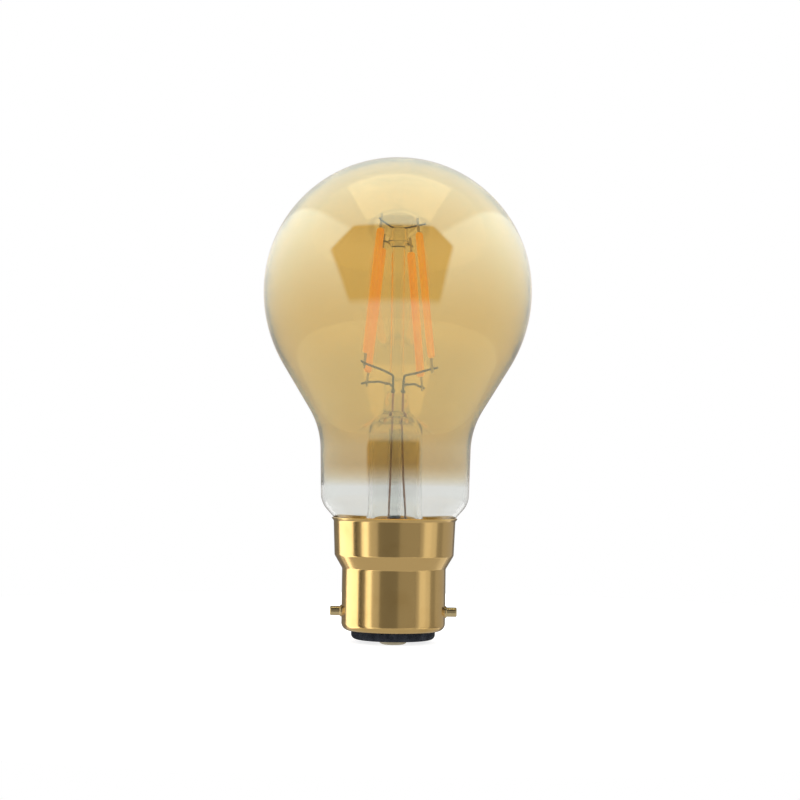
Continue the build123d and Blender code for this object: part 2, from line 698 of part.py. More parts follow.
# Radio module: its own board on a pin header, with the radio chip, shield can and aerial.
with BuildPart() as radio_board:
    with BuildSketch(Plane.XZ.offset(-RADIO_Y)):
        with Locations((0, 13.6)):
            Rectangle(13.0, 9.0)
        with Locations(*[(x, (HEADER_FOOT_Z + HEADER_TOP_Z) / 2) for x in HEADER_X]):
            Circle(0.35, mode=Mode.SUBTRACT)
    extrude(amount=-RADIO_THICK)
keep(radio_board, "radio_board")
with BuildPart() as module_header:
    header_z = (HEADER_FOOT_Z + HEADER_TOP_Z) / 2
    with BuildSketch(Plane.XZ.offset(-BOARD_FACE)):
        with Locations((0, header_z)):
            Rectangle(10.0, HEADER_TOP_Z - HEADER_FOOT_Z)
    extrude(amount=-(RADIO_Y - BOARD_FACE))
    with BuildSketch(Plane.XZ.offset(-RADIO_Y)):
        with Locations(*[(x, header_z) for x in HEADER_X]):
            Circle(0.35)
    extrude(amount=-(RADIO_THICK + 0.4))
keep(module_header, "module_header")
with BuildPart() as radio_chip:
    with BuildSketch(Plane.XZ.offset(-RADIO_FACE)):
        with Locations((-1.6, 12.0)):
            Rectangle(4.0, 4.0)
    extrude(amount=-0.8)
keep(radio_chip, "radio_chip")
with BuildPart() as shield_can:
    with BuildSketch(Plane.XZ.offset(-RADIO_FACE)):
        with Locations((-0.6, 12.0)):
            Rectangle(9.0, 5.2)
    extrude(amount=-1.5)
    with BuildSketch(Plane.XZ.offset(-RADIO_FACE)):
        with Locations((-0.6, 12.0)):
            Rectangle(8.6, 4.8)
    extrude(amount=-1.3, mode=Mode.SUBTRACT)
keep(shield_can, "shield_can")

# Aerial: a folded copper strip on the module's outer face, along its upper right edge.
with BuildPart() as radio_aerial:
    with BuildSketch(Plane.XZ.offset(-RADIO_FACE)):
        with BuildLine():
            folds = Polyline(
                (4.6, 10.6), (5.9, 10.6), (5.9, 11.6), (4.6, 11.6), (4.6, 12.6), (5.9, 12.6),
                (5.9, 13.6), (4.6, 13.6), (4.6, 14.6), (5.9, 14.6), (5.9, 17.6),
            )
            offset(folds, amount=0.2, kind=Kind.INTERSECTION, side=Side.BOTH)
        make_face()
    extrude(amount=-0.1)
keep(radio_aerial, "radio_aerial")
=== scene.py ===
import math

import bpy
from mathutils import Matrix, Vector


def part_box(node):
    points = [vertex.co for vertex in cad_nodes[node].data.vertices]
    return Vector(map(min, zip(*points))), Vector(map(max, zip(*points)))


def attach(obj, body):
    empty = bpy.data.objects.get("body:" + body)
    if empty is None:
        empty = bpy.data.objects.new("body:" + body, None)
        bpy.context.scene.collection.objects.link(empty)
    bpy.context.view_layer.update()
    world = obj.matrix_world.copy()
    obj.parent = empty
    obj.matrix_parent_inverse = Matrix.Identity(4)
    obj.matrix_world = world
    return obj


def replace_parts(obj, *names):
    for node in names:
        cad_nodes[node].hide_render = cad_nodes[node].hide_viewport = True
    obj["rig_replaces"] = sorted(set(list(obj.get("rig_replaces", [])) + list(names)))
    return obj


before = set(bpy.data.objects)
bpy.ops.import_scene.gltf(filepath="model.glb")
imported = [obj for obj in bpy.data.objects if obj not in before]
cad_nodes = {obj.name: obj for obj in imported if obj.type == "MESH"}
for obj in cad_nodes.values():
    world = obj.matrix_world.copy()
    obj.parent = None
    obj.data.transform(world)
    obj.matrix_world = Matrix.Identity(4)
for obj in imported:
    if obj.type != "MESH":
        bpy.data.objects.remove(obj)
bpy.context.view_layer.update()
MM = 0.001


# ---- Cap shell -----------------------------------------------------------------------------
# Thin brass, drawn and rolled: a straight shell with a curled-in foot, a conical step, a wider
# skirt and a lip that flares round the glass. It is spun on the lathe, so it carries fine rings.
def rounded_outline(corners, step=math.radians(7)):
    """Points of an outline from (radius, height, bend radius) corners, each bend an arc."""
    outline = []
    for index, (r, z, bend) in enumerate(corners):
        here = Vector((r, z))
        if not bend:
            outline.append(here)
            continue
        back = (Vector(corners[index - 1][:2]) - here).normalized()
        ahead = (Vector(corners[index + 1][:2]) - here).normalized()
        half = back.angle(ahead) / 2
        reach = bend / math.tan(half)
        centre = here + (back + ahead).normalized() * bend / math.sin(half)
        start = (here + back * reach - centre).normalized()
        end = (here + ahead * reach - centre).normalized()
        count = max(2, math.ceil(start.angle(end) / step))
        outline += [centre + start.slerp(end, k / count) * bend for k in range(count + 1)]
    return outline


def lathe(name, outline, steps=128):
    """Spin an outline in millimetres round the lamp's axis into a skin."""
    bpy.ops.object.select_all(action="DESELECT")
    first = outline[0]
    bpy.ops.mesh.primitive_plane_add(size=MM, location=(first[0] * MM, 0, first[1] * MM))
    piece = bpy.context.object
    piece.name = piece.data.name = name
    bpy.ops.object.transform_apply(location=True)
    bpy.ops.object.mode_set(mode="EDIT")
    bpy.ops.mesh.select_all(action="SELECT")
    bpy.ops.mesh.merge(type="CENTER")
    for here, ahead in zip(outline, outline[1:]):
        move = ((ahead[0] - here[0]) * MM, 0, (ahead[1] - here[1]) * MM)
        bpy.ops.mesh.extrude_region_move(TRANSFORM_OT_translate={"value": move})
    bpy.ops.mesh.select_all(action="SELECT")
    bpy.ops.mesh.spin(steps=steps, angle=math.tau, center=(0, 0, 0), axis=(0, 0, 1))
    bpy.ops.mesh.select_all(action="SELECT")
    bpy.ops.mesh.remove_doubles(threshold=0.002 * MM)
    bpy.ops.mesh.normals_make_consistent(inside=False)
    bpy.ops.object.mode_set(mode="OBJECT")
    widest = max(piece.data.polygons, key=lambda face: face.center.xy.length)
    if widest.normal.xy.dot(widest.center.xy) < 0:
        bpy.ops.object.mode_set(mode="EDIT")
        bpy.ops.mesh.flip_normals()
        bpy.ops.object.mode_set(mode="OBJECT")
    return piece


def apply_modifier(piece, kind, **settings):
    """Add one modifier to a piece, set it and apply it."""
    bpy.context.view_layer.objects.active = piece
    bpy.ops.object.modifier_add(type=kind)
    modifier = piece.modifiers[-1]
    for key, value in settings.items():
        setattr(modifier, key, value)
    bpy.ops.object.modifier_apply(modifier=modifier.name)


def select_only(piece):
    """Make a piece the one that is selected and active."""
    bpy.ops.object.select_all(action="DESELECT")
    piece.select_set(True)
    bpy.context.view_layer.objects.active = piece


def smooth(piece, angle=40):
    """Smooth shading, with edges sharper than the angle in degrees left crisp."""
    select_only(piece)
    bpy.ops.object.shade_smooth_by_angle(angle=math.radians(angle))


def finish_piece(piece, material, node):
    """Dress a finished piece and let it stand for its CAD node on the lamp's one body."""
    piece.data.materials.clear()
    piece.data.materials.append(material)
    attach(piece, "root")
    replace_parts(piece, node)


def new_material(name):
    """A new node material, its node tree and its Principled shader."""
    material = bpy.data.materials.new(name)
    material.use_nodes = True
    tree = material.node_tree
    return material, tree, tree.nodes["Principled BSDF"]


def add_node(tree, kind, inputs=None, **settings):
    """Add a node, with its settings and with values or other nodes' sockets on its inputs."""
    node = tree.nodes.new(kind)
    for key, value in settings.items():
        setattr(node, key, value)
    for key, value in (inputs or {}).items():
        if isinstance(value, bpy.types.NodeSocket):
            tree.links.new(value, node.inputs[key])
        else:
            node.inputs[key].default_value = value
    return node


def multiply(tree, one, other):
    """The product of two node outputs."""
    return add_node(tree, "ShaderNodeMath", {0: one, 1: other}, operation="MULTIPLY").outputs[0]


def smooth_step(tree, value, low, high, start=0.0, end=1.0):
    """An output that eases from start to end while a value goes from low to high."""
    step = add_node(tree, "ShaderNodeMapRange", {"Value": value})
    step.interpolation_type = "SMOOTHSTEP"
    for name, level in zip(("From Min", "From Max", "To Min", "To Max"), (low, high, start, end)):
        step.inputs[name].default_value = level
    return step.outputs[0]


def group_tree(name, inputs, outputs):
    """A new shader node group with named sockets, and its two end nodes."""
    group = bpy.data.node_groups.new(name, "ShaderNodeTree")
    for label, kind, value in inputs:
        socket = group.interface.new_socket(label, in_out="INPUT", socket_type=kind)
        socket.default_value = value
    for label, kind in outputs:
        group.interface.new_socket(label, in_out="OUTPUT", socket_type=kind)
    return group, group.nodes.new("NodeGroupInput"), group.nodes.new("NodeGroupOutput")


SURFACE_OUTPUTS = (
    ("Colour", "NodeSocketColor"),
    ("Roughness", "NodeSocketFloat"),
    ("Normal", "NodeSocketVector"),
)

# Turned finish: fine rings that run round the lamp's axis, with a little tarnish between them.
turned, ring_in, ring_out = group_tree(
    "Turned finish",
    [
        ("Colour", "NodeSocketColor", (0.8, 0.6, 0.3, 1)),
        ("Tarnish", "NodeSocketColor", (0.5, 0.35, 0.15, 1)),
        ("Roughness", "NodeSocketFloat", 0.25),
        ("Depth", "NodeSocketFloat", 0.1),
    ],
    SURFACE_OUTPUTS,
)
place = add_node(turned, "ShaderNodeTexCoord")
axes = add_node(turned, "ShaderNodeSeparateXYZ", {"Vector": place.outputs["Object"]})
around = add_node(
    turned, "ShaderNodeMath", {0: axes.outputs["Y"], 1: axes.outputs["X"]}, operation="ARCTAN2"
)
slow = add_node(turned, "ShaderNodeMath", {0: around.outputs[0], 1: 0.0004}, operation="MULTIPLY")
wrapped = add_node(
    turned,
    "ShaderNodeCombineXYZ",
    {"X": slow.outputs[0], "Y": axes.outputs["Z"], "Z": slow.outputs[0]},
)
rings = add_node(
    turned,
    "ShaderNodeTexNoise",
    {"Vector": wrapped.outputs[0], "Scale": 9000.0, "Detail": 4.0, "Roughness": 0.6},
)
clouds = add_node(
    turned,
    "ShaderNodeTexNoise",
    {"Vector": place.outputs["Object"], "Scale": 160.0, "Detail": 3.0},
)
stain = add_node(
    turned,
    "ShaderNodeMapRange",
    {"Value": clouds.outputs["Fac"], "From Min": 0.5, "From Max": 0.8, "To Max": 0.5},
)
tinted = add_node(
    turned,
    "ShaderNodeMix",
    {"Factor": stain.outputs[0], 6: ring_in.outputs["Colour"], 7: ring_in.outputs["Tarnish"]},
    data_type="RGBA",
)
uneven = add_node(
    turned,
    "ShaderNodeMapRange",
    {"Value": rings.outputs["Fac"], "To Min": -0.05, "To Max": 0.05},
)
rough = add_node(
    turned,
    "ShaderNodeMath",
    {0: ring_in.outputs["Roughness"], 1: uneven.outputs[0]},
    operation="ADD",
)
relief = add_node(
    turned,
    "ShaderNodeBump",
    {
        "Strength": ring_in.outputs["Depth"],
        "Distance": 0.02 * MM,
        "Height": rings.outputs["Fac"],
    },
)
turned.links.new(tinted.outputs[2], ring_out.inputs["Colour"])
turned.links.new(rough.outputs[0], ring_out.inputs["Roughness"])
turned.links.new(relief.outputs["Normal"], ring_out.inputs["Normal"])


def turned_metal(name, colour, tarnish, roughness, depth):
    """Metal with the turned finish."""
    material, tree, shader = new_material(name)
    finish = add_node(tree, "ShaderNodeGroup", node_tree=turned)
    finish.inputs["Colour"].default_value = (*colour, 1)
    finish.inputs["Tarnish"].default_value = (*tarnish, 1)
    finish.inputs["Roughness"].default_value = roughness
    finish.inputs["Depth"].default_value = depth
    tree.links.new(finish.outputs["Colour"], shader.inputs["Base Color"])
    tree.links.new(finish.outputs["Roughness"], shader.inputs["Roughness"])
    tree.links.new(finish.outputs["Normal"], shader.inputs["Normal"])
    shader.inputs["Metallic"].default_value = 1.0
    return material


shell_low, shell_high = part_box("cap_shell")
RIM_R = shell_high.x / MM
RIM_Z = shell_high.z / MM
SHELL_FOOT_Z = shell_low.z / MM
SHELL_R = 11.0
SKIRT_LOW_R = 12.65
SKIRT_TOP_R = 12.95
SHELL_WALL = 0.3
FOOT_CURL = 1.75
CONE_LOW_Z = 15.6
CONE_TOP_Z = 18.4
LIP_Z = 25.65
PIN_Z = 6.5
shell = lathe(
    "cap_shell_brass",
    rounded_outline(
        [
            (SHELL_R - FOOT_CURL, SHELL_FOOT_Z + 0.12, 0),
            (SHELL_R, SHELL_FOOT_Z, 1.6),
            (SHELL_R, CONE_LOW_Z, 0.7),
            (SKIRT_LOW_R, CONE_TOP_Z, 0.9),
            (SKIRT_TOP_R, LIP_Z, 0.35),
            (RIM_R - 0.02, RIM_Z - 0.18, 0),
        ]
    ),
    192,
)
apply_modifier(shell, "SOLIDIFY", thickness=SHELL_WALL * MM, offset=-1, use_even_offset=True)
apply_modifier(shell, "BEVEL", width=0.07 * MM, segments=2, limit_method="ANGLE")
smooth(shell)
cap_brass = turned_metal("Cap brass", (0.89, 0.60, 0.235), (0.72, 0.44, 0.14), 0.17, 0.1)
finish_piece(shell, cap_brass, "cap_shell")

# ---- Bayonet pins --------------------------------------------------------------------------
# Two short brass rivets that lock in the lampholder's slots: a head inside the shell, a shank
# with a soft shoulder outside it, and a thinner free end with a rounded tip.
pin_brass = turned_metal("Pin brass", (0.86, 0.68, 0.36), (0.60, 0.42, 0.18), 0.22, 0.15)
pin_low, pin_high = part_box("bayonet_pin_right")
HEAD_X, TIP_X = pin_low.x / MM, pin_high.x / MM
HEAD_R = (pin_high.y - pin_low.y) / 2 / MM
PIN_R = 1.0
SHANK_R = 1.25
HEAD_THICK = 0.4
SHOULDER_X = SHELL_R + 0.3
pin = lathe(
    "bayonet_pin_right_rivet",
    rounded_outline(
        [
            (0, HEAD_X, 0),
            (HEAD_R, HEAD_X, 0.15),
            (HEAD_R, HEAD_X + HEAD_THICK, 0.1),
            (SHANK_R, HEAD_X + HEAD_THICK, 0),
            (SHANK_R, SHOULDER_X, 0.16),
            (PIN_R, SHOULDER_X, 0.08),
            (PIN_R, TIP_X, 0.28),
            (0, TIP_X, 0),
        ]
    ),
    64,
)
bpy.ops.object.mode_set(mode="EDIT")
bpy.ops.mesh.select_all(action="SELECT")
bpy.ops.transform.rotate(value=-math.pi / 2, orient_axis="Y", center_override=(0, 0, 0))
bpy.ops.transform.translate(value=(0, 0, PIN_Z * MM))
bpy.ops.object.mode_set(mode="OBJECT")
smooth(pin, 50)
finish_piece(pin, pin_brass, "bayonet_pin_right")


def copied(piece, name):
    """A copy of a piece with its own mesh, selected and active, that stands for no CAD node yet."""
    twin = piece.copy()
    twin.data = piece.data.copy()
    twin.name = twin.data.name = name
    twin["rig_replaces"] = []
    bpy.context.scene.collection.objects.link(twin)
    select_only(twin)
    return twin


other_pin = copied(pin, "bayonet_pin_left_rivet")
bpy.ops.object.mode_set(mode="EDIT")
bpy.ops.mesh.select_all(action="SELECT")
bpy.ops.transform.rotate(value=math.pi, orient_axis="Z", center_override=(0, 0, 0))
bpy.ops.object.mode_set(mode="OBJECT")
finish_piece(other_pin, pin_brass, "bayonet_pin_left")

# ---- Base insulator ------------------------------------------------------------------------
# Black fused glass, poured into the shell's foot: flat in the middle, rounded at the edge, with
# two pockets and bores for the contact eyelets.
insulator_low, insulator_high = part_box("base_insulator")
FOOT_Z = insulator_low.z / MM
INSULATOR_R = insulator_high.x / MM
BOSS_R = 8.9
LEDGE_Z = 2.76
INSULATOR_TOP_Z = 4.9
BORE_R = 1.2
POCKET_DEPTH = 0.7
contact_low, contact_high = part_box("contact_eyelet_back")
CONTACT_Y = (contact_low.y + contact_high.y) / 2 / MM
CONTACT_R = (contact_high.x - contact_low.x) / 2 / MM
insulator = lathe(
    "base_insulator_glass",
    rounded_outline(
        [
            (0, FOOT_Z, 0),
            (BOSS_R, FOOT_Z, 1.0),
            (BOSS_R, LEDGE_Z, 0),
            (BOSS_R + 0.3, LEDGE_Z, 0),
            (INSULATOR_R, LEDGE_Z, 1.4),
            (INSULATOR_R, INSULATOR_TOP_Z, 0),
            (0, INSULATOR_TOP_Z, 0),
        ]
    ),
)
for side in (-1, 1):
    for radius, depth in ((CONTACT_R, POCKET_DEPTH), (BORE_R, 12.0)):
        bpy.ops.object.select_all(action="DESELECT")
        bpy.ops.mesh.primitive_cylinder_add(
            vertices=64,
            radius=radius * MM,
            depth=depth * MM,
            location=(0, side * CONTACT_Y * MM, FOOT_Z * MM),
        )
        cutter = bpy.context.object
        apply_modifier(insulator, "BOOLEAN", object=cutter, operation="DIFFERENCE")
        bpy.data.objects.remove(cutter)
smooth(insulator, 35)

# Mottle: soft unevenness of colour, gloss and surface, for cast, moulded and fired pieces.
mottle, mottle_in, mottle_out = group_tree(
    "Mottle",
    [
        ("Colour", "NodeSocketColor", (0.5, 0.5, 0.5, 1)),
        ("Fleck", "NodeSocketColor", (0.4, 0.4, 0.4, 1)),
        ("Roughness", "NodeSocketFloat", 0.5),
        ("Spread", "NodeSocketFloat", 0.1),
        ("Grain", "NodeSocketFloat", 1000.0),
        ("Depth", "NodeSocketFloat", 0.1),
    ],
    SURFACE_OUTPUTS,
)
place = add_node(mottle, "ShaderNodeTexCoord")
grain = add_node(
    mottle,
    "ShaderNodeTexNoise",
    {
        "Vector": place.outputs["Object"],
        "Scale": mottle_in.outputs["Grain"],
        "Detail": 5.0,
        "Roughness": 0.6,
    },
)
spots = add_node(
    mottle,
    "ShaderNodeMapRange",
    {"Value": grain.outputs["Fac"], "From Min": 0.42, "From Max": 0.68},
)
mixed = add_node(
    mottle,
    "ShaderNodeMix",
    {"Factor": spots.outputs[0], 6: mottle_in.outputs["Colour"], 7: mottle_in.outputs["Fleck"]},
    data_type="RGBA",
)
gloss = add_node(
    mottle,
    "ShaderNodeMath",
    {0: spots.outputs[0], 1: mottle_in.outputs["Spread"], 2: mottle_in.outputs["Roughness"]},
    operation="MULTIPLY_ADD",
)
relief = add_node(
    mottle,
    "ShaderNodeBump",
    {
        "Strength": mottle_in.outputs["Depth"],
        "Distance": 0.05 * MM,
        "Height": grain.outputs["Fac"],
    },
)
mottle.links.new(mixed.outputs[2], mottle_out.inputs["Colour"])
mottle.links.new(gloss.outputs[0], mottle_out.inputs["Roughness"])
mottle.links.new(relief.outputs["Normal"], mottle_out.inputs["Normal"])


def mottled(name, colour, fleck, roughness, grain=1000.0, depth=0.2, spread=0.1, metallic=0.0):
    """A cast, moulded or drawn surface with the mottle."""
    material, tree, shader = new_material(name)
    uneven_skin = add_node(tree, "ShaderNodeGroup", node_tree=mottle)
    uneven_skin.inputs["Colour"].default_value = (*colour, 1)
    uneven_skin.inputs["Fleck"].default_value = (*fleck, 1)
    uneven_skin.inputs["Roughness"].default_value = roughness
    uneven_skin.inputs["Spread"].default_value = spread
    uneven_skin.inputs["Grain"].default_value = grain
    uneven_skin.inputs["Depth"].default_value = depth
    tree.links.new(uneven_skin.outputs["Colour"], shader.inputs["Base Color"])
    tree.links.new(uneven_skin.outputs["Roughness"], shader.inputs["Roughness"])
    tree.links.new(uneven_skin.outputs["Normal"], shader.inputs["Normal"])
    shader.inputs["Metallic"].default_value = metallic
    return material


black_glass = mottled(
    "Black fused glass", (0.012, 0.014, 0.020), (0.03, 0.034, 0.045), 0.14, 700.0, 0.25, 0.08
)
black_glass.node_tree.nodes["Principled BSDF"].inputs["Coat Weight"].default_value = 0.4
finish_piece(insulator, black_glass, "base_insulator")

# ---- Contacts ------------------------------------------------------------------------------
# A brass eyelet in each pocket, closed by a low dome of solder that the holder's plunger
# presses on. The domes are worn flat in the middle.
solder_metal = mottled(
    "Contact solder", (0.70, 0.62, 0.44), (0.52, 0.44, 0.28), 0.28, 420.0, 0.5, 0.2, 1.0
)
dome_r = CONTACT_R - 0.15
TAIL_R = 0.8
TAIL_TOP_Z = 2.4
LEAD_HOLE_R = 0.45
LEAD_HOLE_Z = 1.2
dome = lathe(
    "solder_dome_front",
    rounded_outline(
        [
            (0, 0.005, 0),
            (dome_r - 0.35, 0.005, 1.1),
            (dome_r, FOOT_Z, 0),
            (TAIL_R, FOOT_Z, 0),
            (TAIL_R, TAIL_TOP_Z, 0),
            (LEAD_HOLE_R, TAIL_TOP_Z, 0),
            (LEAD_HOLE_R, LEAD_HOLE_Z, 0),
            (0, LEAD_HOLE_Z, 0),
        ]
    ),
    96,
)
bpy.ops.transform.translate(value=(0, -CONTACT_Y * MM, 0))
bpy.ops.object.transform_apply(location=True)
smooth(dome)
finish_piece(dome, solder_metal, "solder_contact_front")
other_dome = copied(dome, "solder_dome_back")
bpy.ops.transform.translate(value=(0, 2 * CONTACT_Y * MM, 0))
bpy.ops.object.transform_apply(location=True)
finish_piece(other_dome, solder_metal, "solder_contact_back")


def dress(material, *names):
    """Give CAD nodes a material."""
    for name in names:
        mesh = cad_nodes[name].data
        mesh.materials.clear()
        mesh.materials.append(material)


dress(pin_brass, "contact_eyelet_front", "contact_eyelet_back")

# ---- Basing cement and liner ---------------------------------------------------------------
# Baked cement between the glass collar and the skirt, and a moulded liner that keeps the
# driver off the brass.
cement = mottled("Basing cement", (0.66, 0.58, 0.42), (0.42, 0.34, 0.22), 0.75, 1400.0, 0.9)
dress(cement, "cap_cement")
liner = mottled("Liner plastic", (0.80, 0.80, 0.77), (0.74, 0.74, 0.70), 0.45, 900.0, 0.1)
dress(liner, "cap_liner")

# ---- Glass envelope ------------------------------------------------------------------------
# Blown soda glass: a round globe that runs down a conical flank into a waist and a short neck.
# An amber coat with a mirror-like lustre covers the outside of the globe and fades out to clear
# glass above the cap.
envelope_low, envelope_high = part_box("glass_envelope")
GLOBE_R = envelope_high.x / MM - 0.01
GLOBE_Z = envelope_high.z / MM - GLOBE_R - 0.01
LOWER_R = 30.5
FLANK = math.radians(31.5)
NECK_R = 16.15
NECK_FOOT_R = 15.7
NECK_FOOT_Z = 29.4
COLLAR_R = 11.9
COLLAR_TOP_Z = 25.15
GLASS_WALL = 0.7
COAT_STARTS_Z = 33.6
COAT_LIGHTEST_Z = 90.0
dome_points = [
    (GLOBE_R * math.sin(math.radians(a)), GLOBE_Z + GLOBE_R * math.cos(math.radians(a)))
    for a in range(0, 90, 3)
]
lower_x = GLOBE_R - LOWER_R
lower_points = [
    (lower_x + LOWER_R * math.cos(FLANK * k / 10), GLOBE_Z - LOWER_R * math.sin(FLANK * k / 10))
    for k in range(11)
]
flank_r, flank_z = lower_points[-1]
waist_z = flank_z - (flank_r - NECK_R) / math.tan(FLANK)
neck_points = rounded_outline(
    [
        (flank_r, flank_z, 0),
        (NECK_R, waist_z, 17.0),
        (NECK_FOOT_R, NECK_FOOT_Z, 5.0),
        (COLLAR_R, COLLAR_TOP_Z, 1.5),
        (COLLAR_R, envelope_low.z / MM, 0),
    ],
    math.radians(3),
)
envelope = lathe("amber_envelope", dome_points + lower_points + neck_points[1:], 192)
bpy.context.view_layer.objects.active = envelope
bpy.ops.object.material_slot_add()
bpy.ops.object.material_slot_add()
apply_modifier(
    envelope,
    "SOLIDIFY",
    thickness=GLASS_WALL * MM,
    offset=-1,
    use_even_offset=True,
    material_offset=1,
)
smooth(envelope, 60)


def glass_shader(name, wave_scale, wave_depth):
    """Glass that lets the studio's light in, with the slow waves of blown or drawn glass."""
    material, tree, shader = new_material(name)
    shader.inputs["Transmission Weight"].default_value = 1.0
    shader.inputs["Roughness"].default_value = 0.0
    shader.inputs["IOR"].default_value = 1.5
    coordinates = add_node(tree, "ShaderNodeTexCoord")
    waves = add_node(
        tree,
        "ShaderNodeTexNoise",
        {"Vector": coordinates.outputs["Object"], "Scale": wave_scale, "Detail": 1.0},
    )
    ripple = add_node(
        tree,
        "ShaderNodeBump",
        {"Strength": wave_depth, "Distance": 0.1 * MM, "Height": waves.outputs["Fac"]},
    )
    tree.links.new(ripple.outputs["Normal"], shader.inputs["Normal"])
    shadow = add_node(tree, "ShaderNodeBsdfTransparent", {"Color": (0.92, 0.92, 0.92, 1)})
    path = add_node(tree, "ShaderNodeLightPath")
    either = add_node(
        tree,
        "ShaderNodeMixShader",
        {0: path.outputs["Is Shadow Ray"], 1: shader.outputs[0], 2: shadow.outputs[0]},
    )
    tree.links.new(either.outputs[0], tree.nodes["Material Output"].inputs["Surface"])
    return material, tree, shader, coordinates, shadow


amber, tree, shader, coordinates, shadow = glass_shader("Amber coated glass", 55.0, 0.2)
shader.inputs["Coat IOR"].default_value = 2.1
shader.inputs["Coat Roughness"].default_value = 0.01
height = add_node(tree, "ShaderNodeSeparateXYZ", {"Vector": coordinates.outputs["Object"]})
drift = add_node(
    tree,
    "ShaderNodeTexNoise",
    {"Vector": coordinates.outputs["Object"], "Scale": 60.0, "Detail": 2.0},
)
ragged = add_node(
    tree,
    "ShaderNodeMath",
    {0: drift.outputs["Fac"], 1: 1.2 * MM, 2: height.outputs["Z"]},
    operation="MULTIPLY_ADD",
)
coat = add_node(tree, "ShaderNodeMapRange", {"Value": ragged.outputs[0]})
coat.inputs["From Min"].default_value = COAT_STARTS_Z * MM
coat.inputs["From Max"].default_value = COAT_LIGHTEST_Z * MM
FULL_COAT = 0.085
density = add_node(tree, "ShaderNodeValToRGB", {"Fac": coat.outputs[0]})
stops = density.color_ramp.elements
stops[0].color = (0.84, 0.84, 0.825, 1)
stops[1].position = FULL_COAT
stops[1].color = (0.66, 0.48, 0.20, 1)
for position, colour in ((0.30, (0.75, 0.57, 0.22, 1)), (1.0, (0.86, 0.665, 0.30, 1))):
    stop = stops.new(position)
    stop.color = colour
lustre = add_node(
    tree, "ShaderNodeMapRange", {"Value": coat.outputs[0], "From Max": FULL_COAT}
)
tree.links.new(lustre.outputs[0], shader.inputs["Coat Weight"])
tree.links.new(density.outputs["Color"], shader.inputs["Base Color"])
tree.links.new(density.outputs["Color"], shadow.inputs["Color"])
inner_glass = glass_shader("Inner wall", 55.0, 0.2)[0]
finish_piece(envelope, amber, "glass_envelope")
envelope.data.materials.append(inner_glass)

# ---- Stem ----------------------------------------------------------------------------------
# Clear glass tube, flared at the foot where it is fused to the neck, closed by a shoulder and
# pressed flat round the wires while soft. The exhaust tube stands beside the wires inside it.
clear_glass, tree, shader = glass_shader("Clear glass", 260.0, 0.5)[:3]
shader.inputs["Base Color"].default_value = (0.95, 0.96, 0.95, 1)
stem_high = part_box("glass_stem")[1]
STEM_R = 5.7
STEM_WALL = 0.9
STEM_TURN = math.radians(4.0)
flare_r = stem_high.x / MM - 0.02
PINCH_Z = 51.6
PINCH_SIZE = (4.9, 2.9, 8.75)
stem = lathe(
    "stem_tube",
    rounded_outline(
        [
            (0, 49.2, 0),
            (3.2, 49.0, 1.4),
            (STEM_R, 46.0, 3.2),
            (STEM_R, 24.6, 7.0),
            (flare_r, 21.3, 0),
            (flare_r, 20.55, 0),
            (STEM_R - STEM_WALL, 23.9, 7.6),
            (STEM_R - STEM_WALL, 45.4, 2.6),
            (2.4, 47.6, 1.2),
            (0, 47.9, 0),
        ]
    ),
    96,
)
bpy.ops.object.select_all(action="DESELECT")
bpy.ops.mesh.primitive_cube_add(size=1, location=(0, 0, PINCH_Z * MM), rotation=(0, 0, STEM_TURN))
pinch = bpy.context.object
pinch.scale = Vector(PINCH_SIZE) * MM
bpy.ops.object.transform_apply(location=True, rotation=True, scale=True)
bpy.ops.object.mode_set(mode="EDIT")
bpy.ops.mesh.select_all(action="SELECT")
bpy.ops.mesh.subdivide(number_cuts=5)
bpy.ops.object.mode_set(mode="OBJECT")
for vertex in pinch.data.vertices:
    rise = (vertex.co.z / MM - 47.2) / 8.8
    spread = 1 + 0.25 * (1 - rise) ** 3 + 0.05 * math.sin(rise * 9)
    vertex.co.x *= spread
    vertex.co.y *= 1 + 0.55 * (1 - rise) ** 3
apply_modifier(pinch, "SUBSURF", levels=2, render_levels=2)
apply_modifier(stem, "BOOLEAN", object=pinch, operation="UNION")
bpy.data.objects.remove(pinch)
smooth(stem, 50)
finish_piece(stem, clear_glass, "glass_stem")

tube_low, tube_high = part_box("exhaust_tube")
tube_r = (tube_high.x - tube_low.x) / 2 / MM
tube = lathe(
    "exhaust_tube_glass",
    rounded_outline(
        [
            (0, tube_low.z / MM, 0),
            (tube_r, tube_low.z / MM, 1.3),
            (tube_r, tube_high.z / MM, 0),
            (tube_r - 0.4, tube_high.z / MM, 0),
            (tube_r - 0.4, tube_low.z / MM + 0.6, 0.8),
            (0, tube_low.z / MM + 0.6, 0),
        ]
    ),
    64,
)
middle = (tube_low + tube_high) / 2
bpy.ops.transform.translate(value=(middle.x, middle.y, 0))
bpy.ops.object.transform_apply(location=True)
smooth(tube)
finish_piece(tube, clear_glass, "exhaust_tube")

